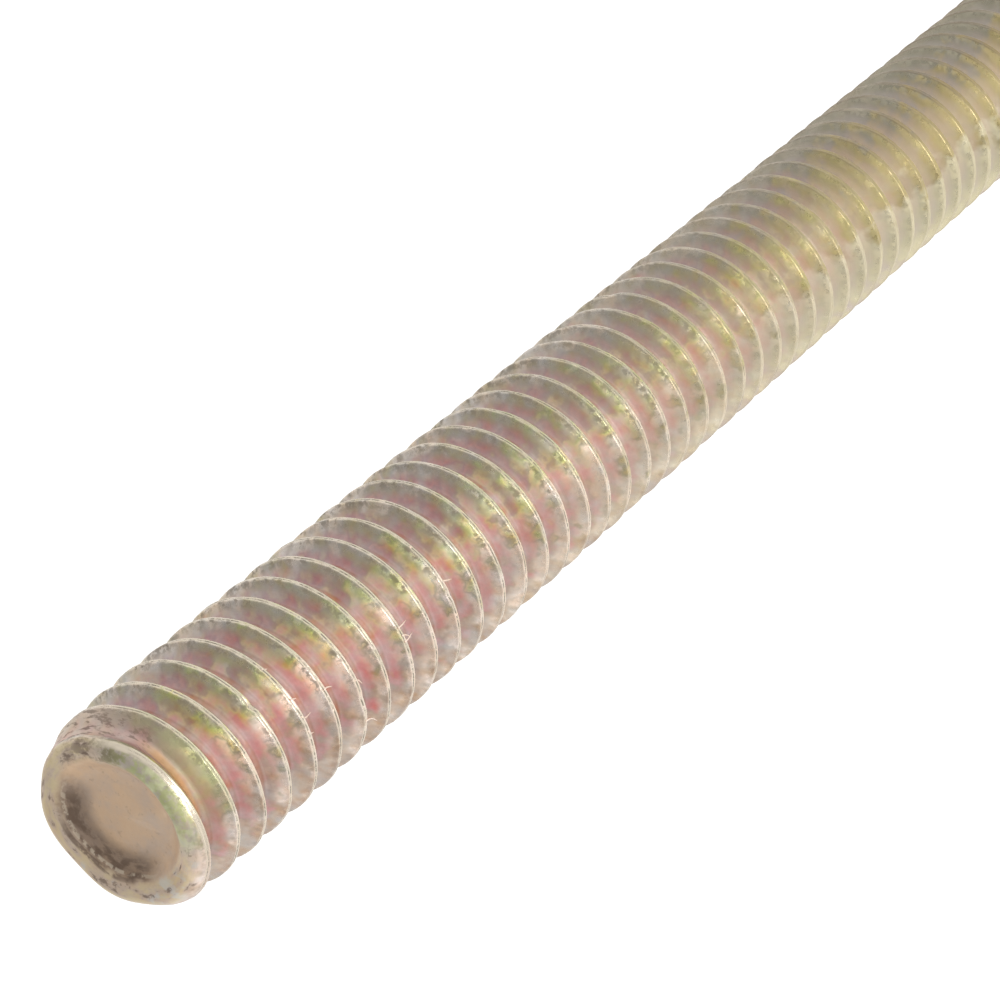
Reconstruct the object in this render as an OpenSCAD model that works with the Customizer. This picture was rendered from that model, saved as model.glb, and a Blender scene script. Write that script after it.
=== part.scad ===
// Fully threaded rod with a right-hand rolled thread, standing upright on one end.
// Sizes are in millimetres and +Z is up. The origin is the middle of the lower end,
// on the plane that the rod stands on. Both ends are alike.

/* [Rod] */
// Length over the two ends
rod_l = 76.2; // [25.4:12.7:152.4]
// Diameter over the crests of the thread
major_d = 6.35; // [6:0.05:8]

/* [Thread] */
// Distance from one crest to the next, along the rod
pitch = 1.27; // [1:0.01:1.6]
// Angle between the two flanks of a groove
flank_angle = 60; // [55:1:75]
// Width of the flat along the top of the thread
crest_w = 0.16; // [0.08:0.01:0.3]
// Width of the flat along the bottom of the groove
root_w = 0.32; // [0.2:0.01:0.45]
// Triangles that the thread's faces may take
thread_facets = 11600; // [4000:100:11600]

/* [Ends] */
// Diameter of the flat end face, inside the rounded edge
face_d = 5; // [4.3:0.05:5.2]
// Length of the rounded point, from the end face to where the crests are full
point_l = 1.3; // [0.6:0.05:3]
// Distance from the end face at which the groove has its full depth
runout_l = 1; // [0.6:0.05:2]
// Diameter of the hollow in the end face, at its mouth
dish_d = 4.2; // [3.2:0.05:4.3]
// Diameter of the hollow's floor
dish_floor_d = 2.9; // [1:0.05:3.1]
// Depth of the hollow
dish_depth = 0.45; // [0.1:0.05:1]

/* [Hidden] */

crest_r = major_d / 2;
flank_w = (pitch - crest_w - root_w) / 2;
root_r = crest_r - flank_w / tan(flank_angle / 2);
face_r = face_d / 2;

// One pitch of the profile, as four corners: where each lies along the rod, and its radius
corner_z = [0, crest_w, crest_w + flank_w, crest_w + flank_w + root_w];
corner_r = [crest_r, crest_r, root_r, root_r];
corners = len(corner_z);
groove_z = crest_w + flank_w + root_w / 2;

// Share of the run-out that lies between the end face and where the groove starts
runout_start = 0.4;

// Steps round one turn, as many as the facets allow, in fours so that the rod keeps its full width
triangles_per_step = 2 * corners;
turns = rod_l / pitch;
steps = 4 * max(3, floor(thread_facets / (triangles_per_step * turns) / 4));

// The helix is laid out longer than the rod, and what lies past an end is drawn in to its edge
helix_start = -pitch;
helix_pitches = ceil((rod_l - helix_start) / pitch) + 1;
column_l = corners * helix_pitches;
shortest_edge = 0.02 * pitch;

// Where the ring of points round each end's face starts in the list of points
lower_ring = steps * column_l;
upper_ring = lower_ring + steps;

dish_slack = 0.2;
dish_fn = 48;

rod_colour = [0.72, 0.62, 0.45];

// Height of a corner: each column stands one step further up the helix than the last
function helix_z(column, corner) =
    helix_start + pitch * (floor(corner / corners) + column / steps) + corner_z[corner % corners];

// Largest radius that the rounded points leave at a height, a quarter ellipse at each end
function point_r(z) =
    let (from_end = max(0, min(z, rod_l - z, point_l)), run = 1 - from_end / point_l)
    face_r + (crest_r - face_r) * sqrt(1 - run * run);

// Share of its full depth that the groove has where its middle is at a height, easing in from nothing to 1
function groove_share(z) =
    let (
        from_end = min(z, rod_l - z),
        x = max(0, min(1, (from_end / runout_l - runout_start) / (1 - runout_start)))
    )
    x * x * (3 - 2 * x);

function corner_point(column, corner) =
    let (
        angle = 360 * column / steps,
        z = helix_z(column, corner),
        limit_r = point_r(z),
        groove_middle = z - corner_z[corner % corners] + groove_z,
        depth = max(0, limit_r - corner_r[corner % corners]),
        r = limit_r - depth * groove_share(groove_middle)
    )
    [r * cos(angle), r * sin(angle), z];

function ring_point(column, z) =
    let (angle = 360 * column / steps)
    [face_r * cos(angle), face_r * sin(angle), z];

// Place of a corner in the list of points. The last column is the first one a turn further up.
function corner_index(column, corner) =
    let (z = helix_z(column, corner))
    z < shortest_edge ? lower_ring + column % steps
    : z > rod_l - shortest_edge ? upper_ring + column % steps
    : column < steps ? column * column_l + corner
    : corner_index(column - steps, corner + corners);

function is_triangle(t) = t[0] != t[1] && t[1] != t[2] && t[2] != t[0];

module thread() {
    points = [
        for (column = [0 : steps - 1], corner = [0 : column_l - 1]) corner_point(column, corner),
        for (column = [0 : steps - 1]) ring_point(column, 0),
        for (column = [0 : steps - 1]) ring_point(column, rod_l)
    ];
    sides = [
        for (column = [0 : steps - 1], corner = [0 : column_l - 2])
            let (
                a = corner_index(column, corner),
                b = corner_index(column + 1, corner),
                c = corner_index(column + 1, corner + 1),
                d = corner_index(column, corner + 1)
            )
            for (t = [[a, d, c], [a, c, b]]) if (is_triangle(t)) t
    ];
    lower_face = [for (column = [0 : steps - 1]) lower_ring + column];
    upper_face = [for (column = [steps - 1 : -1 : 0]) upper_ring + column];
    polyhedron(points, concat(sides, [lower_face, upper_face]), convexity = 10);
}

// The hollow of one end, with its mouth at height 0 and its floor above it
module dish() {
    floor_r = dish_floor_d / 2;
    mouth_r = dish_d / 2;
    slack_r = mouth_r + dish_slack * (mouth_r - floor_r) / dish_depth;
    rotate_extrude($fn = dish_fn)
        polygon([[0, -dish_slack], [slack_r, -dish_slack], [floor_r, dish_depth], [0, dish_depth]]);
}

module threaded_rod() {
    color(rod_colour)
        difference() {
            thread();
            dish();
            translate([0, 0, rod_l]) mirror([0, 0, 1]) dish();
        }
}

threaded_rod();
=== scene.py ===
import math

import bmesh
import bpy
from bpy.props import FloatProperty, FloatVectorProperty, IntProperty, PointerProperty
from mathutils import Euler, Matrix, Vector, noise


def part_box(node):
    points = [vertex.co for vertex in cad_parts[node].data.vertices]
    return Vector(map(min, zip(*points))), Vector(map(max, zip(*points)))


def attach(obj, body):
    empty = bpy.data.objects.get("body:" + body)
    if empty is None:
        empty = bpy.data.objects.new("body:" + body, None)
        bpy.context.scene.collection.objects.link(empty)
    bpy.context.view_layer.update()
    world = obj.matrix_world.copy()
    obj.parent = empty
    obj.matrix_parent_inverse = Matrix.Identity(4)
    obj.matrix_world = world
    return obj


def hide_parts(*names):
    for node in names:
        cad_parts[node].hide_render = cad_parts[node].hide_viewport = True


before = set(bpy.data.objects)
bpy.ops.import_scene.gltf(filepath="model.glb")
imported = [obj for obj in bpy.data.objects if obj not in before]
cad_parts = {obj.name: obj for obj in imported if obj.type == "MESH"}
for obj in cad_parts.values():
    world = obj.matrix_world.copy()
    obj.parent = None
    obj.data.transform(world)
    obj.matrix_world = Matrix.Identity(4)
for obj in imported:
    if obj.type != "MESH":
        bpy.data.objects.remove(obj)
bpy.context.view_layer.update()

bl_info = {
    "name": "Threaded Rod",
    "version": (1, 0, 0),
    "blender": (4, 5, 0),
    "location": "3D View > Sidebar > Threaded Rod",
    "description": "Models a yellow zinc threaded rod over its packed solid, in a pale studio",
    "category": "Object",
}

NODE = "threaded_rod"
BODY = "root"
MM = 0.001
TURN = 2 * math.pi

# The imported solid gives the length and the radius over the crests
ROD_LOW, ROD_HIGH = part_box(NODE)
ROD_L = ROD_HIGH.z - ROD_LOW.z
CREST_R = (ROD_HIGH.x - ROD_LOW.x) / 2

# Turns of thread that are laid out below the rod before its ends are cut
TURNS_BELOW = 2
# Distances from an end face of the rings of edges that the rounded points need
RING_INSETS_MM = (0.012, 0.045, 0.1, 0.18)
# Share of the run-out that lies between the end face and where the groove starts
RUNOUT_START = 0.4
# How close points are when they are welded, lie on a cut, or lie on an end face
WELD_DISTANCE = 0.002 * MM
CUT_SLACK = 0.004 * MM
ON_FACE = 0.01 * MM


def srgb(red, green, blue):
    """Linear values of a colour given as 0 to 255, the way a picture holds it."""
    channels = [value / 255 for value in (red, green, blue)]
    return tuple(c / 12.92 if c <= 0.04045 else ((c + 0.055) / 1.055) ** 2.4 for c in channels)


def length_property(name, description, default_mm):
    default = default_mm * MM
    return FloatProperty(
        name=name, description=description, default=default, min=0, precision=5, unit="LENGTH"
    )


def angle_property(name, description, default_deg):
    default = math.radians(default_deg)
    return FloatProperty(name=name, description=description, default=default, unit="ROTATION")


def colour_property(name, description, *default):
    return FloatVectorProperty(
        name=name, description=description, default=srgb(*default), size=3, min=0, max=1,
        subtype="COLOR",
    )


# Sizes and colours

class ThreadSizes(bpy.types.PropertyGroup):
    pitch: length_property("Pitch", "Distance from one crest to the next, along the rod", 1.27)
    crest_width: length_property("Crest Width", "Width of the crest between the flanks", 0.16)
    root_width: length_property("Root Width", "Width of the bottom of the groove", 0.32)
    flank_angle: angle_property("Flank Angle", "Angle between the two flanks of a groove", 60)
    seam_depth: length_property("Seam Depth", "Depth of the seam that runs along a crest", 0.025)
    steps: IntProperty(
        name="Steps", description="Faces round one turn, in fours", default=84,
        min=24, max=120, step=4,
    )


class EndSizes(bpy.types.PropertyGroup):
    face_diameter: length_property("Face", "Diameter of the end face, inside the rounded edge", 5.0)
    point_length: length_property("Point", "Length of the rounded point, to the full crests", 1.3)
    runout: length_property("Run-out", "Distance from the face to the full depth of a groove", 1.0)
    dish_diameter: length_property("Dish", "Diameter of the hollow at its mouth", 4.2)
    floor_diameter: length_property("Floor", "Diameter of the hollow's floor", 2.9)
    dish_depth: length_property("Dish Depth", "Depth of the hollow in an end", 0.45)
    dish_shift: length_property("Dish Shift", "How far the hollow lies off the middle", 0.17)
    dish_side: angle_property("Dish Side", "Way in which the hollow lies off the middle", -110)


class WearSizes(bpy.types.PropertyGroup):
    shoulder: length_property("Worn Shoulder", "How far one side of the point is worn in", 0.09)
    crest_rag: length_property("Ragged Crest", "How far the crests are worn in, at most", 0.035)
    flank_wave: length_property("Flank Wave", "How far the flanks wave in and out", 0.008)
    rim_rag: length_property("Ragged Rim", "How far the rim of an end wanders", 0.04)
    rim_flat: length_property("Rim Flat", "Depth of the flattened stretches of an end's rim", 0.05)
    sliver_thickness: length_property("Sliver", "Thickness of a sliver of metal at its root", 0.075)


class FilmColours(bpy.types.PropertyGroup):
    pearl: colour_property("Pearl", "Pale film with hardly any colour", 216, 202, 188)
    ash: colour_property("Ash", "Grey film", 186, 176, 164)
    olive: colour_property("Olive", "Brown green film", 186, 176, 152)
    moss: colour_property("Moss", "Dark green film", 182, 184, 138)
    lime: colour_property("Lime", "Yellow green film", 210, 206, 156)
    straw: colour_property("Straw", "Pale gold film", 220, 202, 164)
    peach: colour_property("Peach", "Film between the gold and the pink", 226, 186, 166)
    blush: colour_property("Blush", "Pale pink film", 236, 214, 198)
    rose: colour_property("Rose", "Pink film", 222, 168, 166)
    mauve: colour_property("Mauve", "Purple pink film", 208, 163, 159)
    plum: colour_property("Plum", "Dark purple film", 190, 150, 154)
    taupe: colour_property("Taupe", "Brown film", 188, 164, 146)
    fawn: colour_property("Fawn", "Pale brown film", 206, 186, 168)
    drab: colour_property("Drab", "Grey gold film far from the worked end", 174, 168, 147)
    khaki: colour_property("Khaki", "Gold film far from the worked end", 197, 180, 130)
    sand: colour_property("Sand", "Pale gold film far from the worked end", 229, 220, 184)
    dust: colour_property("Dust", "Bloom low in the groove", 222, 212, 212)
    # Film low in the groove, darkened as painted shade
    sienna_shade: colour_property("Sienna", "Film in the bottom of the groove", 174, 136, 120)
    grime: colour_property("Grime", "Specks beside the crests", 118, 108, 92)
    # Bare zinc on worn crests, also laid as a painted highlight on the first crest and a painted
    # glint inside the mouth of the hollow
    bare_and_glint: colour_property("Bare Zinc", "Crests where the film is worn off", 218, 206, 186)
    seam: colour_property("Seam", "Dirt in the seam of a crest", 120, 112, 96)
    tan: colour_property("Tan", "Floor of the hollow", 217, 190, 161)
    # Real dirt in streaks, pits and specks, and painted shade on the hollow's far wall and lip, on
    # spots of the rings and on the crests far down
    umber_dirt_and_shade: colour_property("Umber", "Dirt on the wall of the hollow", 112, 94, 80)
    amber: colour_property("Amber", "Film in the first groove", 232, 190, 120)
    # Green film, lightened beside the first crest as a painted highlight
    sage: colour_property("Sage", "Green film beside the first crest", 208, 210, 172)
    frost: colour_property("Frost", "Pale bloom on the ring round the hollow", 204, 204, 200)
    burr: colour_property("Burr", "Slivers and beads of metal", 240, 218, 202)


class StageSizes(bpy.types.PropertyGroup):
    azimuth: angle_property("Azimuth", "Turn of the camera round the rod", -13.732)
    elevation: angle_property("Elevation", "Height of the camera over the horizon", 44.667)
    roll: angle_property("Roll", "Turn of the camera about its own line of sight", -130.364)
    distance: length_property("Distance", "From the camera to the point it aims at", 113.048)
    aim: FloatVectorProperty(
        name="Aim", description="Point that the camera looks at", size=3, subtype="TRANSLATION",
        default=(-0.0867 * MM, 0.0212 * MM, 55.972 * MM),
    )
    lens: FloatProperty(
        name="Lens", description="Focal length in millimetres", default=124.907, min=1
    )
    floor_size: length_property("Floor", "Width of the floor", 3000)


# Meshes

def new_piece(name, build):
    """A finished mesh object at the origin, from a function that fills a bmesh."""
    mesh = bpy.data.meshes.new(name)
    bm = bmesh.new()
    build(bm)
    bm.to_mesh(mesh)
    bm.free()
    piece = bpy.data.objects.new(name, mesh)
    bpy.context.scene.collection.objects.link(piece)
    return piece


def dress(piece, material):
    """Gives a piece its material and its body."""
    piece.data.materials.append(material)
    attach(piece, BODY)


def smoothstep(start, end, value):
    share = min(1, max(0, (value - start) / (end - start)))
    return share * share * (3 - 2 * share)


def crest_point(turns_down, round_angle, radius):
    """Point on the crest line, some turns down from the upper end, at an angle round the rod."""
    thread = bpy.context.scene.rod_thread
    share = round_angle / TURN
    line = (ROD_L - turns_down * thread.pitch - thread.crest_width / 2) / thread.pitch
    z = (round(line - share) + share) * thread.pitch + thread.crest_width / 2
    return Vector((radius * math.cos(round_angle), radius * math.sin(round_angle), z))


def groove_depth(thread):
    flank = (thread.pitch - thread.crest_width - thread.root_width) / 2
    return flank / math.tan(thread.flank_angle / 2)


def half_profile(thread):
    """Steps from the middle of a crest to the middle of the root.

    Each step is its distance along the rod and its fall from the crest.
    """
    crest, root = thread.crest_width / 2, thread.root_width / 2
    flank = thread.pitch / 2 - crest - root
    depth = groove_depth(thread)
    # The crest is two lips with a seam between them. The root is rounded into both flanks.
    lips = [(0, thread.seam_depth), (0.3 * crest, 0.35 * thread.seam_depth), (0.7 * crest, 0)]
    shoulder = [(1.15 * crest, 0.012 * MM), (crest + 0.09 * flank, 0.09 * depth)]
    sides = [(crest + share * flank, share * depth) for share in (0.45, 0.82)]
    bottom = [(crest + 0.98 * flank, 0.95 * depth), (crest + flank + 0.5 * root, 0.998 * depth)]
    return lips + shoulder + sides + bottom + [(thread.pitch / 2, depth)]


def everything(bm):
    return bm.verts[:] + bm.edges[:] + bm.faces[:]


def of_kind(items, kind):
    return [item for item in items if isinstance(item, kind)]


def add_thread(bm, thread):
    """The helical surface, longer than the rod at both ends."""
    half = half_profile(thread)
    profile = half[:-1] + [(thread.pitch - along, fall) for along, fall in reversed(half)]
    crest_z = thread.crest_width / 2
    verts = [bm.verts.new((CREST_R - fall, 0, crest_z + along)) for along, fall in profile]
    line = [bm.edges.new(pair) for pair in zip(verts, verts[1:])]
    bmesh.ops.spin(
        bm, geom=verts + line, cent=(0, 0, 0), axis=(0, 0, 1),
        dvec=(0, 0, thread.pitch / thread.steps), angle=TURN, steps=thread.steps,
        use_merge=False, use_duplicate=False,
    )
    turn = everything(bm)
    turns = round(ROD_L / thread.pitch)
    for number in range(-TURNS_BELOW, turns + 1):
        copy = of_kind(bmesh.ops.duplicate(bm, geom=turn)["geom"], bmesh.types.BMVert)
        bmesh.ops.translate(bm, vec=(0, 0, number * thread.pitch), verts=copy)
    bmesh.ops.delete(bm, geom=of_kind(turn, bmesh.types.BMVert), context="VERTS")
    bmesh.ops.remove_doubles(bm, verts=bm.verts[:], dist=WELD_DISTANCE)


def cut_ends(bm):
    """Cuts the thread to the rod's length, with more rings of edges where the points round over."""
    for plane, outwards in ((0, -1), (ROD_L, 1)):
        for inset_mm in (*RING_INSETS_MM, 0):
            bmesh.ops.bisect_plane(
                bm, geom=everything(bm), dist=CUT_SLACK, clear_outer=inset_mm == 0,
                plane_co=(0, 0, plane - outwards * inset_mm * MM), plane_no=(0, 0, outwards),
            )


def groove_from_end(co, thread):
    """Distance from the nearer end face to the middle of the groove that a point lies in."""
    lift = (co.z - thread.crest_width / 2) / thread.pitch - math.atan2(co.y, co.x) / TURN
    to_middle = (0.5 - (lift - math.floor(lift))) * thread.pitch
    middle = co.z + to_middle
    return min(middle, ROD_L - middle)


def round_points(bm, thread, ends):
    """Lowers the crests to a quarter ellipse at each end, where the groove runs out."""
    face_r = ends.face_diameter / 2
    full_depth = groove_depth(thread)
    for vert in bm.verts:
        from_end = max(0, min(vert.co.z, ROD_L - vert.co.z))
        run = 1 - min(1, from_end / ends.point_length)
        limit = face_r + (CREST_R - face_r) * math.sqrt(max(0, 1 - run * run))
        radius = vert.co.xy.length
        groove = groove_from_end(vert.co, thread)
        share = smoothstep(RUNOUT_START * ends.runout, ends.runout, groove)
        share *= max(0, 1 - (CREST_R - limit) / full_depth)
        depth = (CREST_R - radius) * share
        vert.co.x *= (limit - depth) / radius
        vert.co.y *= (limit - depth) / radius


def add_end_faces(bm, ends):
    """Closes both ends: a flat ring, and a shallow dish with a rounded mouth and floor."""
    mouth, floor = ends.dish_diameter / 2, ends.floor_diameter / 2
    depth = ends.dish_depth
    wall = mouth - floor
    # Radius and depth of each ring of points, from the flat ring to the middle of the dish
    down_wall = ((0.1, 0.22), (0.32, 0.56), (0.6, 0.8), (0.95, 0.93))
    rings = [(mouth + 0.2 * MM, 0), (mouth + 0.06 * MM, 0.05 * depth)]
    rings += [(mouth - share * wall, fall * depth) for share, fall in down_wall]
    rings += [(share * floor, depth) for share in (0.8, 0.55, 0.3, 0.1)]
    for plane, inwards in ((0, 1), (ROD_L, -1)):
        edges = [
            edge for edge in bm.edges
            if edge.is_boundary and abs(edge.verts[0].co.z - plane) < ON_FACE
        ]
        radius, height = ends.face_diameter / 2, plane
        for ring_r, fall in rings:
            grown = bmesh.ops.extrude_edge_only(bm, edges=edges)["geom"]
            verts = of_kind(grown, bmesh.types.BMVert)
            edges = [edge for edge in of_kind(grown, bmesh.types.BMEdge) if edge.is_boundary]
            bmesh.ops.scale(bm, vec=(ring_r / radius, ring_r / radius, 1), verts=verts)
            bmesh.ops.translate(bm, vec=(0, 0, plane + inwards * fall - height), verts=verts)
            radius, height = ring_r, plane + inwards * fall
        middle = list({vert for edge in edges for vert in edge.verts})
        bmesh.ops.pointmerge(bm, verts=middle, merge_co=(0, 0, height))


# Nicks in the crests: turns down from the upper end, degrees round the rod, and depth and half
# width in millimetres
NICKS = (
    (3.0, -101.5, 0.16, 0.17),
    (5.9, -143.0, 0.07, 0.2),
    (9.9, -128.0, 0.06, 0.16),
    (14.2, 60.0, 0.12, 0.2),
    (22.6, -40.0, 0.08, 0.2),
    (31.0, 150.0, 0.13, 0.22),
    (44.5, 10.0, 0.1, 0.2),
    (52.4, -110.0, 0.1, 0.2),
)

# Directions round the rod, in degrees: the flattened stretch of each rim, the worn side of both
# points, and the way in which the hollows are longer
UPPER_RIM_SIDE, LOWER_RIM_SIDE = 78, 200
WORN_POINT_SIDE = -12
OVAL_SIDE = 38
OVAL_SHARE = 0.05
RIM_FLATS = 6

# Each point's radius before wear, which tells the ring of an end from its hollow
RADIUS_LAYER = "Made Radius"


def nick_places():
    for turns_down, angle, depth, half_width in NICKS:
        yield crest_point(turns_down, math.radians(angle), CREST_R), depth * MM, half_width * MM


def wear(bm, thread, ends, sizes):
    """Moves the points where crests are worn, rims are knocked and hollows are uneven."""
    root_r = CREST_R - groove_depth(thread)
    face_r, mouth, floor = ends.face_diameter / 2, ends.dish_diameter / 2, ends.floor_diameter / 2
    nicks = list(nick_places())
    made_radius = bm.verts.layers.float.new(RADIUS_LAYER)
    for vert in bm.verts:
        co = vert.co
        radius = co.xy.length
        vert[made_radius] = radius
        upper = co.z > ROD_L / 2
        from_end = ROD_L - co.z if upper else co.z
        angle = math.atan2(co.y, co.x)
        spot = Vector((math.cos(angle), math.sin(angle), co.z / MM))
        if radius > root_r - 0.01 * MM:
            height = (radius - root_r) / (CREST_R - root_r)
            patches = max(0, noise.noise(spot * 2.7) + 0.25)
            rag = smoothstep(0.75, 1, height) * sizes.crest_rag * patches
            wave = sizes.flank_wave * (noise.noise(spot * 1.3 + Vector((7, 0, 0))) - 0.6)
            shift = wave - rag
            for place, depth, half_width in nicks:
                if abs(place.z - co.z) < 2 * half_width:
                    gap = (co - place).length / half_width
                    shift -= depth * smoothstep(1.4, 0, gap)
        else:
            shift = 0
        # A rim has flats with corners between them on one side, and is uneven all round
        rim = smoothstep(1.1 * MM, 0, from_end) * smoothstep(floor, face_r, radius)
        side = angle - math.radians(UPPER_RIM_SIDE if upper else LOWER_RIM_SIDE)
        flats = math.cos(RIM_FLATS * side)
        shift -= rim * sizes.rim_flat * flats * smoothstep(0, 0.6, math.cos(side))
        shift += rim * sizes.rim_rag * noise.noise(spot * 1.9 + Vector((0, 3, 0)))
        # One side of the point is worn further in
        worn = smoothstep(2 * MM, 0.8 * MM, from_end) * smoothstep(0, 0.4 * MM, from_end)
        towards = math.cos(angle - math.radians(WORN_POINT_SIDE))
        shift -= worn * sizes.shoulder * smoothstep(0.3, 0.9, towards)
        co.x += shift * math.cos(angle)
        co.y += shift * math.sin(angle)
        if from_end < 2 * ends.dish_depth:
            # The hollow is a little oval and off the middle, and its floor and ring are uneven
            inside = smoothstep(face_r, mouth, radius)
            oval = 1 + OVAL_SHARE * inside * math.cos(2 * (angle - math.radians(OVAL_SIDE)))
            co.x = co.x * oval + inside * ends.dish_shift * math.cos(ends.dish_side)
            co.y = co.y * oval + inside * ends.dish_shift * math.sin(ends.dish_side)
            dent = noise.noise(co / MM * 0.9) * 0.05 * MM
            dent += noise.noise(co / MM * 2.6) * 0.02 * MM
            co.z += inside * (-dent if upper else dent)
            co.z = min(ROD_L, max(0, co.z))


def build_rod(bm):
    scene = bpy.context.scene
    add_thread(bm, scene.rod_thread)
    cut_ends(bm)
    round_points(bm, scene.rod_thread, scene.rod_ends)
    add_end_faces(bm, scene.rod_ends)
    wear(bm, scene.rod_thread, scene.rod_ends, scene.rod_wear)
    bmesh.ops.triangulate(bm, faces=[face for face in bm.faces if len(face.verts) > 4])
    bmesh.ops.recalc_face_normals(bm, faces=bm.faces[:])
    for face in bm.faces:
        face.smooth = True


# Material nodes

MIX_FACTOR, MIX_A, MIX_B = 0, 6, 7
MIX_RESULT = 2
NODES_IN_ROW = 12
NODE_WIDTH, NODE_HEIGHT = 180, 260
FLOAT, COLOUR, VECTOR = "NodeSocketFloat", "NodeSocketColor", "NodeSocketVector"


class Tree:
    """A node tree, filled from left to right."""

    def __init__(self, tree):
        self.tree = tree
        self.count = 0

    def add(self, kind, inputs=None, **settings):
        node = self.tree.nodes.new(kind)
        row, column = divmod(self.count, NODES_IN_ROW)
        node.location = (NODE_WIDTH * column, -NODE_HEIGHT * row)
        self.count += 1
        for name, value in settings.items():
            setattr(node, name, value)
        for name, value in (inputs or {}).items():
            self.put(node.inputs[name], value)
        return node

    def put(self, socket, value):
        if isinstance(value, bpy.types.NodeSocket):
            self.tree.links.new(value, socket)
        elif socket.type == "RGBA" and len(value) == 3:
            socket.default_value = (*value, 1)
        else:
            socket.default_value = value

    def math(self, operation, *values):
        return self.add("ShaderNodeMath", dict(enumerate(values)), operation=operation).outputs[0]

    def scaled(self, value, factor, base):
        """The value times the factor, plus the base."""
        return self.math("MULTIPLY_ADD", value, factor, base)

    def swing(self, base, noise_value, amount):
        """The base, moved up and down by a noise over the whole of an amount."""
        return self.scaled(self.math("SUBTRACT", noise_value, 0.5), amount, base)

    def rest(self, mask):
        return self.math("SUBTRACT", 1.0, mask)

    def wrapped(self, value):
        """A share of a turn or of a pitch, brought to between -0.5 and 0.5."""
        return self.math("WRAP", value, -0.5, 0.5)

    def smooth(self, value, start, end):
        """0 before start and 1 after end, with start above end where it falls."""
        inputs = {"Value": value, "From Min": start, "From Max": end}
        return self.add("ShaderNodeMapRange", inputs, interpolation_type="SMOOTHSTEP").outputs[0]

    def band(self, value, start, full, ebb, end):
        """0 up to the start, 1 from full to ebb, and 0 past the end."""
        return self.both(self.smooth(value, start, full), self.smooth(value, end, ebb))

    def both(self, first, *others):
        """Product of masks and numbers."""
        for other in others:
            first = self.math("MULTIPLY", first, other)
        return first

    def either(self, first, *others):
        """The highest of some masks."""
        for other in others:
            first = self.math("MAXIMUM", first, other)
        return first

    def mix(self, factor, first, second):
        inputs = {MIX_FACTOR: factor, MIX_A: first, MIX_B: second}
        node = self.add("ShaderNodeMix", inputs, data_type="RGBA", clamp_factor=True)
        return node.outputs[MIX_RESULT]

    def cover(self, colour, over, *masks):
        """A colour with another one over it, where all of the masks are."""
        return self.mix(self.both(*masks), colour, over)

    def vector(self, x, y, z=0.0):
        return self.add("ShaderNodeCombineXYZ", {"X": x, "Y": y, "Z": z}).outputs[0]

    def noise(self, vector, scale, detail=2.0, roughness=0.5):
        inputs = {"Vector": vector, "Scale": scale, "Detail": detail, "Roughness": roughness}
        return self.add("ShaderNodeTexNoise", inputs, noise_dimensions="3D").outputs["Fac"]

    def stretched(self, vector, scale):
        return self.add("ShaderNodeMapping", {"Vector": vector, "Scale": scale}).outputs[0]

    def surface(self, inputs):
        """Ends a material with its shader and its output."""
        shader = self.add("ShaderNodeBsdfPrincipled", inputs)
        self.add("ShaderNodeOutputMaterial", {"Surface": shader.outputs[0]})


def emptied_tree(owner):
    """The node tree of a material or a world, with nothing in it."""
    owner.use_nodes = True
    owner.node_tree.nodes.clear()
    return Tree(owner.node_tree)


def new_group(name, inputs, outputs):
    """A shader node group with named sockets, and its tree to fill."""
    group = bpy.data.node_groups.new(name, "ShaderNodeTree")
    for in_out, sockets in (("INPUT", inputs), ("OUTPUT", outputs)):
        for label, kind in sockets.items():
            group.interface.new_socket(name=label, in_out=in_out, socket_type=kind)
    tree = Tree(group)
    return group, tree, tree.add("NodeGroupInput").outputs, tree.add("NodeGroupOutput").inputs


def thread_place_group():
    """Where a point lies on the thread: how far round, up the rod, across the groove and so on."""
    inputs = {
        "Pitch": FLOAT, "Crest Middle": FLOAT, "Root Radius": FLOAT, "Crest Radius": FLOAT,
        "Length": FLOAT,
    }
    outputs = {
        "Round": FLOAT, "Across": FLOAT, "Height": FLOAT, "Down": FLOAT, "From End": FLOAT,
        "Groove": VECTOR, "Object": VECTOR,
    }
    group, tree, given, result = new_group("Thread Place", inputs, outputs)
    place = tree.add("ShaderNodeTexCoord").outputs["Object"]
    axes = tree.add("ShaderNodeSeparateXYZ", {"Vector": place}).outputs
    share = tree.math("DIVIDE", tree.math("ARCTAN2", axes["Y"], axes["X"]), TURN)
    over_middle = tree.math("SUBTRACT", axes["Z"], given["Crest Middle"])
    helix = tree.math("SUBTRACT", tree.math("DIVIDE", over_middle, given["Pitch"]), share)
    across = tree.math("FRACT", helix)
    turn = tree.math("ADD", tree.math("FLOOR", helix), share)
    squares = [tree.math("POWER", axes[name], 2.0) for name in ("X", "Y")]
    radius = tree.math("SQRT", tree.math("ADD", *squares))
    over_root = tree.math("SUBTRACT", radius, given["Root Radius"])
    depth = tree.math("SUBTRACT", given["Crest Radius"], given["Root Radius"])
    down = tree.math("SUBTRACT", given["Length"], axes["Z"])
    found = {
        "Round": share, "Across": across, "Height": tree.math("DIVIDE", over_root, depth),
        "Down": down, "From End": tree.math("MINIMUM", down, axes["Z"]),
        "Groove": tree.vector(turn, across), "Object": place,
    }
    for name, value in found.items():
        tree.put(result[name], value)
    return group


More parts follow.
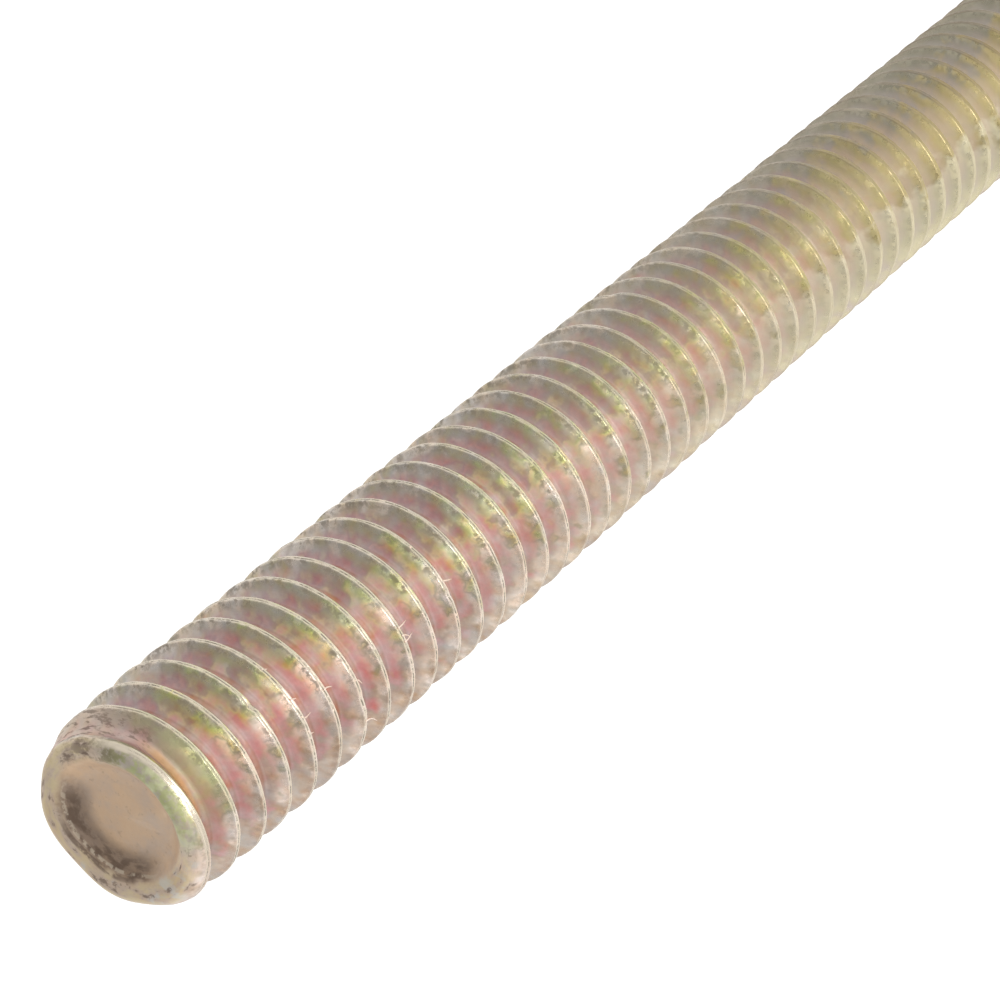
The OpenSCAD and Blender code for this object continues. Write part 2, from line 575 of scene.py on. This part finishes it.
# Stretches round the rod, in degrees: the middle of each, and how far from there it is whole and
# how far from there it is gone
SIDES = {
    "specks": (-60, 40, 100),
    # Painted shade on the crests far down is strongest in this stretch
    "dull crests": (-50, 30, 75),
    "shoulder streaks": (-45, 30, 60),
    "first groove": (-108, 18, 40),
    "green shoulder": (-104, 22, 48),
    "green ring": (-104, 35, 62),
    "pale ring": (165, 70, 110),
    # Spots of painted shade on the rings
    "shaded ring": (-52, 12, 34),
    "first crest": (-104, 35, 60),
    # Wall darkened by dirt and painted shade
    "shaded dirty wall": (82, 50, 100),
    # Painted shadow just outside the mouth of the hollow
    "lip shadow": (85, 25, 50),
}


def side_mask(tree, share, name, wander=0.0):
    """1 in the middle of a stretch round the rod and 0 outside it, with an edge that wanders."""
    middle, whole, gone = (angle / 360 for angle in SIDES[name])
    offset = tree.math("ADD", tree.math("SUBTRACT", share, middle), wander)
    return tree.smooth(tree.math("ABSOLUTE", tree.wrapped(offset)), gone, whole)


# The film's colours round the rod, by the angle in degrees from the side that faces the camera:
# first on the upper half of a flank, then low in the groove, and then far down the rod. They
# change all the way round, partly as the film's own colour and partly as painted light and shade.
FILM_BY_CREST = (
    (-180, "fawn"), (-120, "olive"), (-78, "pearl"), (-62, "ash"), (-46, "olive"), (-32, "olive"),
    (-17, "moss"), (-7, "lime"), (3, "straw"), (12, "olive"), (25, "blush"), (44, "blush"),
    (57, "fawn"), (74, "taupe"), (120, "ash"), (180, "fawn"),
)
FILM_IN_GROOVE = (
    (-180, "fawn"), (-125, "rose"), (-78, "fawn"), (-62, "plum"), (-49, "mauve"), (-33, "plum"),
    (-20, "taupe"), (-8, "straw"), (3, "peach"), (13, "rose"), (28, "rose"), (42, "mauve"),
    (56, "taupe"), (74, "fawn"), (120, "olive"), (180, "fawn"),
)
FILM_FAR_DOWN = (
    (-180, "fawn"), (-78, "drab"), (-52, "drab"), (-34, "khaki"), (-4, "khaki"), (8, "khaki"),
    (24, "sand"), (60, "sand"), (90, "pearl"), (180, "fawn"),
)
CAMERA_SIDE = -103.8 / 360


def film_ramp(tree, colours, stops, share):
    """Colours round the rod, looked up by a share of a turn from the side that faces the camera."""
    phase = tree.math("FRACT", tree.math("ADD", share, 0.5))
    node = tree.add("ShaderNodeValToRGB", {"Fac": phase})
    ramp = node.color_ramp
    while len(ramp.elements) < len(stops):
        ramp.elements.new(0.5)
    for element, (angle, name) in zip(ramp.elements, stops):
        element.position = angle / 360 + 0.5
        element.color = (*getattr(colours, name), 1)
    return node.outputs["Color"]


def film_group(colours):
    """Colour of the chromate film at a place on the thread, with painted light and shade round the
    rod and painted shade low in the groove.
    """
    inputs = {
        "Round": FLOAT, "Height": FLOAT, "Down": FLOAT, "From End": FLOAT, "Groove": VECTOR,
        "Object": VECTOR,
    }
    outputs = {"Color": COLOUR, "Far": FLOAT}
    group, tree, given, result = new_group("Chromate Film", inputs, outputs)
    place, down, from_end = given["Object"], given["Down"], given["From End"]
    long_patch = tree.noise(tree.stretched(place, (1, 1, 0.25)), scale=380.0)
    small_patch = tree.noise(place, scale=1300.0, detail=3.0)
    other_patch = tree.noise(tree.stretched(place, (1, 1, -1)), scale=1500.0, detail=3.0)
    groove_patch = tree.noise(tree.stretched(given["Groove"], (12, 1.3, 0)), scale=1.0, detail=3.0)
    vivid_patch = tree.noise(tree.stretched(place, (1, -1, 1)), scale=1900.0)
    grain = tree.noise(place, scale=9000.0, roughness=0.6)

    # The colours lie a little further round past the first turns, and again close to an end
    share = tree.math("SUBTRACT", CAMERA_SIDE, given["Round"])
    share = tree.scaled(tree.smooth(down, 7 * MM, 14 * MM), -0.035, share)
    share = tree.scaled(tree.smooth(from_end, 2 * MM, 1.2 * MM), -0.045, share)
    share = tree.swing(share, long_patch, 0.2)
    by_crest = tree.swing(tree.swing(share, small_patch, 0.4), groove_patch, 0.25)
    in_groove = tree.swing(tree.swing(share, other_patch, 0.4), groove_patch, -0.25)
    upper = film_ramp(tree, colours, FILM_BY_CREST, by_crest)
    lower = film_ramp(tree, colours, FILM_IN_GROOVE, in_groove)
    height = tree.either(given["Height"], tree.smooth(from_end, 0.6 * MM, 0.3 * MM))
    low = tree.smooth(tree.swing(height, other_patch, 0.6), 0.8, 0.25)
    colour = tree.mix(low, upper, lower)
    colour = tree.cover(colour, colours.dust, tree.smooth(height, 0.6, 0.0), 0.4)
    # Painted shade: the bottom of the groove is darkened
    colour = tree.cover(colour, colours.sienna_shade, tree.smooth(height, 0.16, 0.04), 0.75)

    # Some patches are vivid and others grey, and all are finely mottled
    changes = {
        "Saturation": tree.swing(0.96, vivid_patch, 1.9),
        "Value": tree.swing(tree.swing(1.0, other_patch, 0.3), grain, 0.2),
        "Color": colour,
    }
    colour = tree.add("ShaderNodeHueSaturation", changes).outputs[0]

    # Far down the rod the film is an even gold, which starts sooner on one side
    sooner = tree.math("SINE", tree.math("MULTIPLY", share, TURN))
    far = tree.smooth(tree.scaled(sooner, 4.8 * MM, down), 12 * MM, 49 * MM)
    gold = film_ramp(tree, colours, FILM_FAR_DOWN, tree.swing(share, small_patch, 0.3))
    gold = tree.cover(gold, colours.dust, low, 0.4)
    tree.put(result["Color"], tree.cover(colour, gold, far, 0.9))
    tree.put(result["Far"], far)
    return group


def crest_group():
    """Masks of a crest: its worn lips, the seam between them and the specks of dirt beside it."""
    inputs = {"Round": FLOAT, "Across": FLOAT, "Groove": VECTOR, "Object": VECTOR}
    outputs = {"Worn": FLOAT, "Seam": FLOAT, "Specks": FLOAT}
    group, tree, given, result = new_group("Crest Wear", inputs, outputs)
    # Distance from the middle of the crest, in pitches: below it is negative
    off = tree.wrapped(given["Across"])
    near = tree.math("ABSOLUTE", off)
    grain = tree.noise(given["Object"], scale=11000.0, roughness=0.6)
    blotch = tree.noise(given["Object"], scale=4500.0, detail=4.0, roughness=0.65)
    groove = tree.stretched(given["Groove"], (24, 3, 0))
    along = tree.noise(groove, scale=1.0, detail=3.0, roughness=0.6)
    found = {
        "Worn": tree.both(
            tree.smooth(tree.swing(near, blotch, 0.14), 0.085, 0.03),
            tree.smooth(grain, 0.2, 0.5), tree.smooth(along, 0.15, 0.5),
        ),
        "Seam": tree.both(
            tree.smooth(near, 0.03, 0.01),
            tree.smooth(grain, 0.34, 0.5), tree.smooth(along, 0.43, 0.55),
        ),
    }
    side = side_mask(tree, given["Round"], "specks", tree.math("MULTIPLY", along, 0.1))
    found["Specks"] = tree.both(
        tree.band(off, 0.03, 0.07, 0.08, 0.24),
        tree.smooth(blotch, 0.45, 0.58), tree.smooth(along, 0.68, 0.42),
        tree.scaled(side, 0.7, 0.3),
    )
    for name, value in found.items():
        tree.put(result[name], value)
    return group


class EndFilm:
    """The film, wear, dirt, painted shade and painted highlights of the two ends, laid over the
    film of the thread.
    """

    def __init__(self, tree, place, ends, colours):
        self.tree, self.place, self.colours = tree, place, colours
        self.face_r = ends.face_diameter / 2
        self.mouth = ends.dish_diameter / 2
        self.floor = ends.floor_diameter / 2
        self.from_end = place["From End"]
        self.radius = tree.add("ShaderNodeAttribute", attribute_name=RADIUS_LAYER).outputs["Fac"]
        self.patch = tree.noise(place["Object"], scale=1100.0, detail=4.0, roughness=0.6)
        self.fine = tree.noise(place["Object"], scale=3300.0, detail=4.0, roughness=0.65)
        level = tree.stretched(place["Object"], (1, 1, 0))
        outwards = tree.add("ShaderNodeVectorMath", {0: level}, operation="NORMALIZE").outputs[0]
        self.outwards = tree.add("ShaderNodeSeparateXYZ", {0: outwards}).outputs
        self.sweep = self.streaks(self.radius, 0.25 * MM, (3, 3, 1), 0.6)

    def side(self, name):
        return side_mask(self.tree, self.place["Round"], name)

    def streaks(self, distance, step, stretch, roughness):
        """Noise that is drawn out round the rod and changes with a distance."""
        steps = self.tree.math("DIVIDE", distance, step)
        flow = self.tree.vector(self.outwards["X"], self.outwards["Y"], steps)
        flow = self.tree.stretched(flow, stretch)
        return self.tree.noise(flow, scale=1.0, detail=4.0, roughness=roughness)

    def shoulder(self, colour):
        """Lays brown film, dirt streaks and green film on the points, and gives the dirt too."""
        tree, colours, from_end = self.tree, self.colours, self.from_end
        shoulder = tree.both(
            tree.smooth(from_end, 1.6 * MM, 1.1 * MM),
            tree.smooth(self.radius, self.face_r, self.face_r + 0.1 * MM),
        )
        off_face = tree.smooth(from_end, 0.35 * MM, 0.6 * MM)
        colour = tree.cover(colour, colours.taupe, shoulder, off_face, 0.5)
        marks = tree.smooth(self.streaks(from_end, 0.8 * MM, (6, 6, 7), 0.65), 0.5, 0.62)
        dirt = tree.both(shoulder, self.side("shoulder streaks"), marks)
        colour = tree.cover(colour, colours.umber_dirt_and_shade, dirt, 0.6)
        groove = tree.both(
            tree.band(from_end, 0.7 * MM, 0.8 * MM, 0.95 * MM, 1.1 * MM),
            tree.smooth(self.place["Height"], 0.4, 0.1), self.side("first groove"),
        )
        colour = tree.cover(colour, colours.amber, groove, 0.45)
        green = tree.both(
            tree.band(from_end, 0.95 * MM, 1.15 * MM, 1.5 * MM, 1.9 * MM),
            self.side("green shoulder"), tree.smooth(self.patch, 0.66, 0.46),
        )
        return tree.cover(colour, colours.moss, green, 0.5), dirt

    def ring(self, colour):
        """Lays a green band, pale patches and spots of painted shade on the rings, and gives the
        pits too.
        """
        tree, colours, patch, fine = self.tree, self.colours, self.patch, self.fine
        ring = tree.smooth(tree.swing(self.from_end, fine, 0.5 * MM), 0.4 * MM, 0.1 * MM)
        # The green band on one side mixes moss, ash and sage; the sage is lightened as a painted
        # highlight beside the first crest
        facing = self.side("green ring")
        tint = tree.mix(tree.smooth(fine, 0.42, 0.58), colours.moss, colours.ash)
        tint = tree.mix(tree.smooth(patch, 0.45, 0.6), tint, colours.sage)
        colour = tree.cover(colour, tint, ring, facing, 0.85)
        beyond = tree.rest(facing)
        stain = tree.mix(tree.smooth(self.sweep, 0.42, 0.6), colours.fawn, colours.straw)
        colour = tree.cover(colour, stain, ring, beyond, 0.7)
        bloom = tree.both(ring, self.side("pale ring"), tree.smooth(patch, 0.57, 0.67))
        colour = tree.cover(colour, colours.frost, bloom, 0.6)
        # Spots of painted shade on one side of each ring
        shade_spots = tree.both(ring, self.side("shaded ring"), tree.smooth(fine, 0.6, 0.42))
        colour = tree.cover(colour, colours.umber_dirt_and_shade, shade_spots, 0.6)
        pits = tree.both(
            ring, beyond, tree.smooth(self.sweep, 0.46, 0.36), tree.smooth(fine, 0.54, 0.46)
        )
        return tree.cover(colour, colours.umber_dirt_and_shade, pits, 0.75), pits

    def first_crest(self, colour):
        """Bares the crest that starts at the ring on one side, as worn zinc and a painted
        highlight, and gives its mask too.
        """
        tree = self.tree
        off = tree.math("ABSOLUTE", tree.wrapped(self.place["Across"]))
        bare_and_glint = tree.both(
            tree.smooth(off, 0.085, 0.04), tree.smooth(self.from_end, 0.55 * MM, 0.45 * MM),
            self.side("first crest"),
        )
        return tree.cover(colour, self.colours.bare_and_glint, bare_and_glint, 0.95), bare_and_glint

    def hollow(self, colour):
        """Makes the hollows tan, with a wall darkened by dirt and painted shade, a painted lip
        shadow and a painted glint on one side, and gives the dirt and painted shade too.
        """
        tree, colours, radius, mouth = self.tree, self.colours, self.radius, self.mouth
        inside = tree.either(
            tree.smooth(
                tree.swing(radius, self.patch, 0.5 * MM), mouth + 0.22 * MM, mouth - 0.1 * MM
            ),
            tree.smooth(radius, mouth, mouth - 0.1 * MM),
        )
        dish = tree.mix(tree.smooth(self.patch, 0.35, 0.7), colours.tan, colours.fawn)
        dish = tree.cover(dish, colours.umber_dirt_and_shade, tree.smooth(self.fine, 0.42, 0.32), 0.2)
        # The far side of the wall is darkened by dirt and by painted shade
        far_side = self.side("shaded dirty wall")
        uneven = tree.swing(radius, self.sweep, 0.5 * MM)
        wall = tree.both(
            tree.smooth(uneven, self.floor - 0.45 * MM, self.floor + 0.3 * MM), inside, far_side,
            tree.scaled(tree.smooth(self.sweep, 0.6, 0.4), 0.3, 0.7),
        )
        colour = tree.mix(inside, colour, tree.mix(wall, dish, colours.umber_dirt_and_shade))
        # Painted shadow: a dark line just outside the mouth on the far side
        lip_shadow = tree.both(
            tree.band(radius, mouth - 0.04 * MM, mouth, mouth + 0.08 * MM, mouth + 0.14 * MM),
            self.side("lip shadow"), tree.smooth(self.sweep, 0.62, 0.5),
        )
        colour = tree.cover(colour, colours.umber_dirt_and_shade, lip_shadow, 0.8)
        # A pale line of bare zinc inside the mouth on the far side: a worn edge, painted as a glint
        from_lip = tree.math("ABSOLUTE", tree.math("SUBTRACT", radius, mouth - 0.1 * MM))
        lip = tree.both(
            tree.smooth(from_lip, 0.06 * MM, 0.02 * MM), far_side,
            tree.smooth(self.fine, 0.46, 0.56),
        )
        return tree.cover(colour, colours.bare_and_glint, lip, 0.5), tree.either(wall, lip_shadow)


def add_place(tree, thread):
    """Adds the group that finds a point's place on the thread, and returns its outputs."""
    sizes = {
        "Pitch": thread.pitch, "Crest Middle": thread.crest_width / 2, "Crest Radius": CREST_R,
        "Root Radius": CREST_R - groove_depth(thread), "Length": ROD_L,
    }
    return tree.add("ShaderNodeGroup", sizes, node_tree=thread_place_group()).outputs


def add_group(tree, group, place):
    """Adds a group that is fed with a point's place on the thread, and returns its outputs."""
    node = tree.add("ShaderNodeGroup", node_tree=group)
    for socket in node.inputs:
        tree.put(socket, place[socket.name])
    return node.outputs


def zinc_material(scene):
    colours = scene.rod_colours
    material = bpy.data.materials.new("Yellow Zinc")
    tree = emptied_tree(material)
    place = add_place(tree, scene.rod_thread)
    film = add_group(tree, film_group(colours), place)
    crest = add_group(tree, crest_group(), place)

    # The crests are worn and dirty near the upper end; far down the rod they are rougher and
    # darkened as painted shade, most on one side
    near = tree.rest(film["Far"])
    colour = tree.cover(film["Color"], colours.grime, crest["Specks"], near, 0.65)
    dull_shaded = tree.both(
        tree.smooth(place["Height"], 0.88, 0.97), film["Far"],
        tree.scaled(side_mask(tree, place["Round"], "dull crests"), 0.3, 0.25),
    )
    colour = tree.cover(colour, colours.umber_dirt_and_shade, dull_shaded)
    fade = tree.scaled(tree.smooth(place["Down"], 26 * MM, 5 * MM), 0.5, 0.35)
    worn = tree.both(crest["Worn"], near, fade)
    colour = tree.cover(colour, colours.bare_and_glint, worn)
    colour = tree.cover(colour, colours.seam, crest["Seam"], near, 0.85)

    end = EndFilm(tree, place, scene.rod_ends, colours)
    colour, streaks = end.shoulder(colour)
    colour, pits = end.ring(colour)
    # The first crest is bared and carries a painted highlight on one side
    colour, first = end.first_crest(colour)
    colour, wall_dirt_and_shade = end.hollow(colour)

    grain = tree.noise(place["Object"], scale=6000.0, detail=3.0, roughness=0.6)
    streak = tree.noise(tree.stretched(place["Groove"], (14, 40, 0)), scale=1.0, detail=3.0)
    # Dirt, and the painted shade of the hollows' walls and lips, are rougher and less metallic
    dirt = tree.either(crest["Specks"], crest["Seam"], streaks, pits, wall_dirt_and_shade)
    in_groove = tree.smooth(place["Height"], 0.85, 0.1)
    rough = tree.scaled(grain, 0.22, 0.16)
    for mask, change in (
        (in_groove, 0.32), (first, -0.06), (dull_shaded, 0.2), (worn, -0.08), (dirt, 0.3),
    ):
        rough = tree.scaled(mask, change, rough)
    metal = tree.scaled(dirt, -0.6, 1.0)
    relief = tree.math("ADD", tree.math("MULTIPLY", streak, 0.5), tree.math("MULTIPLY", grain, 0.5))
    relief = tree.math("SUBTRACT", relief, tree.math("MULTIPLY", crest["Specks"], 0.6))
    bump = tree.add("ShaderNodeBump", {"Strength": 0.35, "Distance": 0.02 * MM, "Height": relief})
    tree.surface(
        {"Base Color": colour, "Metallic": metal, "Roughness": rough, "Normal": bump.outputs[0]}
    )
    return material


class MakeRod(bpy.types.Operator):
    """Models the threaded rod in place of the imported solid"""

    bl_idname = "threaded_rod.make_rod"
    bl_label = "Rod"

    def execute(self, context):
        scene = context.scene
        rod = new_piece("rod", build_rod)
        if not rod.data.polygons:
            raise RuntimeError("the rod has no faces")
        dress(rod, zinc_material(scene))
        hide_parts(NODE)
        return {"FINISHED"}


# Slivers of metal that rolling left on the crests: degrees round the rod, turns down from the
# upper end, heading in degrees (0 round the rod, 90 up it) and length in millimetres
SLIVERS = (
    (-123, 8.4, -90, 0.5), (-128, 8.4, -120, 0.45), (-132, 8.8, -85, 0.5), (-157, 6.7, -120, 0.9),
    (-134, 5.5, -170, 0.45), (-125, 3.8, -110, 0.45), (-134, 4.5, -135, 0.3),
    (-122, 5.7, -100, 0.4), (-130, 6.3, -125, 0.35), (-118, 9.8, -115, 0.55),
    (-92, 3.9, -115, 0.2), (-114, 4.7, -110, 0.25), (40, 12.3, -70, 0.4), (150, 21.6, -120, 0.3),
    (-30, 33.2, -100, 0.4), (100, 47.5, -60, 0.3),
)
SLIVER_SIDES = 5
SLIVER_CUTS = 4
# How far a sliver curls sideways, at most, and leans in at its tip, as shares of its length
SLIVER_CURL = 0.14
SLIVER_LEAN = 0.1
# Beads of zinc: degrees round the rod, turns down and radius in millimetres
BEADS = ((-93, 10.25, 0.05), (-141, 10.2, 0.08), (70, 26.4, 0.06))


def build_slivers(bm):
    thickness = bpy.context.scene.rod_wear.sliver_thickness
    seat = CREST_R - 0.55 * thickness
    for round_deg, turns_down, heading_deg, length_mm in SLIVERS:
        angle, heading = math.radians(round_deg), math.radians(heading_deg)
        length = length_mm * MM
        # Each sliver curls by a different amount
        curl = SLIVER_CURL * math.sin(7 * round_deg)
        out = Vector((math.cos(angle), math.sin(angle), 0))
        ahead = Vector((-out.y, out.x, 0)) * math.cos(heading)
        ahead += Vector((0, 0, math.sin(heading)))
        across = out.cross(ahead)
        turn = Matrix((across, out, ahead)).transposed().to_4x4()
        start = crest_point(turns_down, angle, seat)
        known = len(bm.verts)
        bmesh.ops.create_cone(
            bm, cap_ends=True, cap_tris=False, segments=SLIVER_SIDES, radius1=thickness / 2,
            radius2=thickness / 5, depth=length,
            matrix=Matrix.Translation(start + ahead * length / 2) @ turn,
        )
        bm.verts.ensure_lookup_table()
        edges = {edge for vert in bm.verts[known:] for edge in vert.link_edges}
        sides = {edge for edge in edges if edge.calc_length() > length / 2}
        bmesh.ops.subdivide_edges(bm, edges=list(sides), cuts=SLIVER_CUTS)
        bm.verts.ensure_lookup_table()
        for vert in bm.verts[known:]:
            share = (vert.co - start).dot(ahead) / length
            lean = out * SLIVER_LEAN * length * share
            vert.co += across * curl * length * math.sin(4 * share) - lean
    for round_deg, turns_down, radius_mm in BEADS:
        middle = crest_point(turns_down, math.radians(round_deg), CREST_R - 1.2 * radius_mm * MM)
        place = Matrix.Translation(middle)
        bmesh.ops.create_icosphere(bm, subdivisions=2, radius=radius_mm * MM, matrix=place)
    for face in bm.faces:
        face.smooth = True


def burr_material(colours):
    material = bpy.data.materials.new("Bare Burr")
    tree = emptied_tree(material)
    tree.surface({"Base Color": colours.burr, "Metallic": 0.9, "Roughness": 0.4})
    return material


class MakeSlivers(bpy.types.Operator):
    """Adds the slivers and beads of metal that lie on the crests"""

    bl_idname = "threaded_rod.make_slivers"
    bl_label = "Slivers"

    def execute(self, context):
        slivers = new_piece("slivers", build_slivers)
        if not slivers.data.polygons:
            raise RuntimeError("the slivers have no faces")
        dress(slivers, burr_material(context.scene.rod_colours))
        return {"FINISHED"}


# Stage

# The lamps: azimuth and elevation in degrees, distance and size in metres, and power in watts
SOFTBOXES = (
    ("Top Softbox", -49, 73, 0.35, (0.16, 0.16), 0.08),
    ("Side Softbox", -150, 40, 0.4, (0.2, 0.25), 0.05),
    ("Rim Softbox", -38, 32, 0.35, (0.2, 0.06), 0.2),
    ("Front Softbox", -35, 12, 0.35, (0.12, 0.12), 0.15),
)
# Height of the point that the lamps face, as a share of the rod's length
LIT_SHARE = 0.75
CLIP_START = 5 * MM
WHITE = (1.0, 1.0, 1.0)
CEILING_GREY = (0.55, 0.55, 0.55)
FLOOR_GREY = (0.82, 0.82, 0.82)
FLOOR_GLOW = 0.5


def add_softbox(name, azimuth, elevation, distance, size, power, target):
    """A rectangular area lamp that faces a point and lies in a given direction from it."""
    lamp = bpy.data.lights.new(name, "AREA")
    lamp.shape = "RECTANGLE"
    lamp.size, lamp.size_y = size
    lamp.energy = power
    piece = bpy.data.objects.new(name, lamp)
    turn = Euler((math.radians(90 - elevation), 0, math.radians(azimuth))).to_matrix().to_4x4()
    piece.matrix_world = Matrix.Translation(target) @ turn @ Matrix.Translation((0, 0, distance))
    bpy.context.scene.collection.objects.link(piece)


def add_camera(stage):
    data = bpy.data.cameras.new("Camera")
    data.lens = stage.lens
    data.clip_start = CLIP_START
    camera = bpy.data.objects.new("Camera", data)
    turn = Euler((math.pi / 2 - stage.elevation, 0, stage.azimuth)).to_matrix().to_4x4()
    roll = Matrix.Rotation(stage.roll, 4, "Z")
    back = Matrix.Translation((0, 0, stage.distance))
    camera.matrix_world = Matrix.Translation(stage.aim) @ turn @ back @ roll
    bpy.context.scene.collection.objects.link(camera)
    bpy.context.scene.camera = camera


def floor_material():
    """A pale grey that glows a little in what the camera sees of it, also by way of the rod."""
    material = bpy.data.materials.new("Pale Floor")
    tree = emptied_tree(material)
    path = tree.add("ShaderNodeLightPath").outputs
    rays = [path[f"Is {kind} Ray"] for kind in ("Camera", "Glossy", "Transmission")]
    strength = tree.math("MULTIPLY", tree.either(*rays), FLOOR_GLOW)
    plain = tree.add("ShaderNodeBsdfDiffuse", {"Color": FLOOR_GREY})
    glow = tree.add("ShaderNodeEmission", {"Color": WHITE, "Strength": strength})
    lifted = tree.add("ShaderNodeAddShader", {0: plain.outputs[0], 1: glow.outputs[0]})
    tree.add("ShaderNodeOutputMaterial", {"Surface": lifted.outputs[0]})
    return material


def add_world():
    """A studio with a white sweep low down and a grey ceiling."""
    world = bpy.data.worlds.new("Studio")
    tree = emptied_tree(world)
    direction = tree.add("ShaderNodeTexCoord").outputs["Generated"]
    height = tree.add("ShaderNodeSeparateXYZ", {"Vector": direction}).outputs["Z"]
    colour = tree.mix(tree.smooth(height, 0.3, 0.7), WHITE, CEILING_GREY)
    background = tree.add("ShaderNodeBackground", {"Color": colour, "Strength": 1.0})
    tree.add("ShaderNodeOutputWorld", {"Surface": background.outputs[0]})
    bpy.context.scene.world = world


def build_floor(bm, size):
    bmesh.ops.create_grid(bm, x_segments=1, y_segments=1, size=size / 2)


class MakeStage(bpy.types.Operator):
    """Sets the floor, the lamps and the camera round the rod"""

    bl_idname = "threaded_rod.make_stage"
    bl_label = "Stage"

    def execute(self, context):
        scene = context.scene
        stage = scene.rod_stage
        floor = new_piece("floor", lambda bm: build_floor(bm, stage.floor_size))
        floor.data.materials.append(floor_material())
        add_world()
        add_camera(stage)
        for softbox in SOFTBOXES:
            add_softbox(*softbox, Vector((0, 0, LIT_SHARE * ROD_L)))
        scene.view_settings.view_transform = "Standard"
        return {"FINISHED"}


class RodPanel(bpy.types.Panel):
    bl_idname = "VIEW3D_PT_threaded_rod"
    bl_label = "Threaded Rod"
    bl_space_type = "VIEW_3D"
    bl_region_type = "UI"
    bl_category = "Threaded Rod"

    def draw(self, context):
        for name in PROPERTY_GROUPS:
            group = getattr(context.scene, name)
            box = self.layout.box()
            for prop in group.bl_rna.properties:
                if prop.identifier not in ("rna_type", "name"):
                    box.prop(group, prop.identifier)
        for operator in (MakeRod, MakeSlivers, MakeStage):
            self.layout.operator(operator.bl_idname)


PROPERTY_GROUPS = {
    "rod_thread": ThreadSizes,
    "rod_ends": EndSizes,
    "rod_wear": WearSizes,
    "rod_colours": FilmColours,
    "rod_stage": StageSizes,
}
CLASSES = (*PROPERTY_GROUPS.values(), MakeRod, MakeSlivers, MakeStage, RodPanel)


def register():
    for item in CLASSES:
        bpy.utils.register_class(item)
    for name, group in PROPERTY_GROUPS.items():
        setattr(bpy.types.Scene, name, PointerProperty(type=group))


def unregister():
    for name in PROPERTY_GROUPS:
        delattr(bpy.types.Scene, name)
    for item in reversed(CLASSES):
        bpy.utils.unregister_class(item)


def main():
    register()
    bpy.ops.threaded_rod.make_rod()
    bpy.ops.threaded_rod.make_slivers()
    bpy.ops.threaded_rod.make_stage()


if __name__ == "__main__":
    main()
